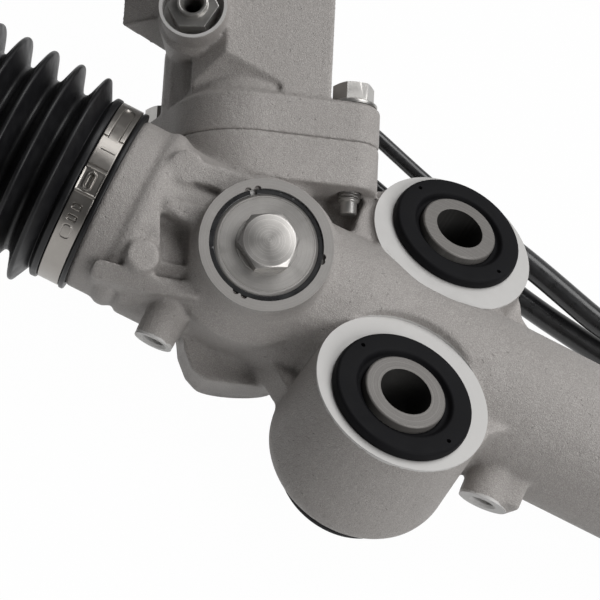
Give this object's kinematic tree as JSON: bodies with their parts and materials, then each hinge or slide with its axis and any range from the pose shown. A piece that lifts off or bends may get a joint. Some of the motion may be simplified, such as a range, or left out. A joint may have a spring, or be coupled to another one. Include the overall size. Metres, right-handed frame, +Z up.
{
  "type": "steering rack",
  "caption": "Hydraulic rack and pinion steering gear: cast housing with tilted valve tower, rubber mounting bushes, bellows boots, sliding rack bar and jointed inner tie rods.",
  "frame": {"origin": "on the rack axis, midway between the two mounting bushes at the pinion end", "axes": "+X along the rack away from the pinion end, +Z up along the mounting bolts, +Y to the side that the input shaft leans to"},
  "size_m": [0.975, 0.2206, 0.1144],
  "materials": {
    "cast_aluminium": "sand-textured casting, warm grey",
    "turned_aluminium": "lathe-turned, satin",
    "bright_steel": "ground, satin",
    "zinc_steel": "zinc plated",
    "bush_steel": "bare tube, dull",
    "black_steel": "black coating, satin",
    "forged_steel": "forged and phosphated, dull",
    "black_rubber": "satin black",
    "seat_plastic": "matt"
  },
  "bodies": {
    "housing": {"rack_housing": "cast_aluminium", "valve_housing": "cast_aluminium", "valve_housing_bolts": "zinc_steel", "joint_seal": "black_rubber", "inlet_fitting": "zinc_steel", "return_fitting": "zinc_steel", "shaft_dust_seal": "black_rubber", "valve_top_bearing": "bright_steel", "pinion_seal": "black_rubber", "pinion_top_bearing": "bright_steel", "pinion_low_bearing": "bright_steel", "bearing_ring": "black_steel", "rack_yoke": "turned_aluminium", "yoke_liner": "seat_plastic", "yoke_spring": "zinc_steel", "yoke_plug": "turned_aluminium", "yoke_lock_ring": "black_steel", "bush_sleeves": "bush_steel", "bush_rubbers_top": "black_rubber", "bush_rubbers_bottom": "black_rubber", "cylinder_liner": "bright_steel", "inner_rack_seal": "black_rubber", "outer_rack_seal": "black_rubber", "rod_bushing": "bright_steel", "left_stop_ring": "forged_steel", "right_stop_ring": "forged_steel", "near_line": "black_steel", "far_line": "black_steel", "line_nuts": "zinc_steel", "left_boot": "black_rubber", "right_boot": "black_rubber", "left_boot_band": "zinc_steel", "right_boot_band": "zinc_steel"},
    "rack": {"rack_bar": "bright_steel", "piston": "turned_aluminium", "piston_ring": "seat_plastic", "left_socket": "forged_steel", "right_socket": "forged_steel", "socket_washers": "forged_steel", "ball_seats": "seat_plastic"},
    "pinion": {"pinion_shaft": "bright_steel", "valve_sleeve": "bright_steel", "valve_rings": "seat_plastic", "torsion_bar": "bright_steel"},
    "input_shaft": {"input_shaft": "bright_steel"},
    "left_rod": {"left_tie_rod": "forged_steel", "left_jam_nut": "zinc_steel", "left_rod_clip": "zinc_steel"},
    "right_rod": {"right_tie_rod": "forged_steel", "right_jam_nut": "zinc_steel", "right_rod_clip": "zinc_steel"}
  },
  "joints": [
    {"name": "rack_slide", "type": "slide", "parent": "housing", "child": "rack", "axis": [1, 0, 0], "range_m": [-0.064, 0.064], "deforming": ["left_boot", "right_boot"]},
    {"name": "pinion_turn", "type": "hinge", "parent": "housing", "child": "pinion", "pos_m": [-0.0646, 0.00847, -0.01594], "axis": [-0.3746, 0.8187, 0.4353], "range_deg": [-483, 483]},
    {"name": "input_twist", "type": "hinge", "parent": "pinion", "child": "input_shaft", "pos_m": [-0.0646, 0.00847, -0.01594], "axis": [-0.3746, 0.8187, 0.4353], "range_deg": [-4, 4], "stiffness_Nm_per_rad": 100},
    {"name": "left_rod_swing", "type": "hinge", "parent": "rack", "child": "left_rod", "pos_m": [-0.219, 0, 0], "axis": [0, 1, 0], "range_deg": [-20, 20], "deforming": ["left_boot"]},
    {"name": "right_rod_swing", "type": "hinge", "parent": "rack", "child": "right_rod", "pos_m": [0.376, 0, 0], "axis": [0, 1, 0], "range_deg": [-20, 20], "deforming": ["right_boot"]}
  ],
  "couplings": [
    {"joint": "pinion_turn", "follows": "rack_slide", "rad_per_m": 131.58}
  ]
}
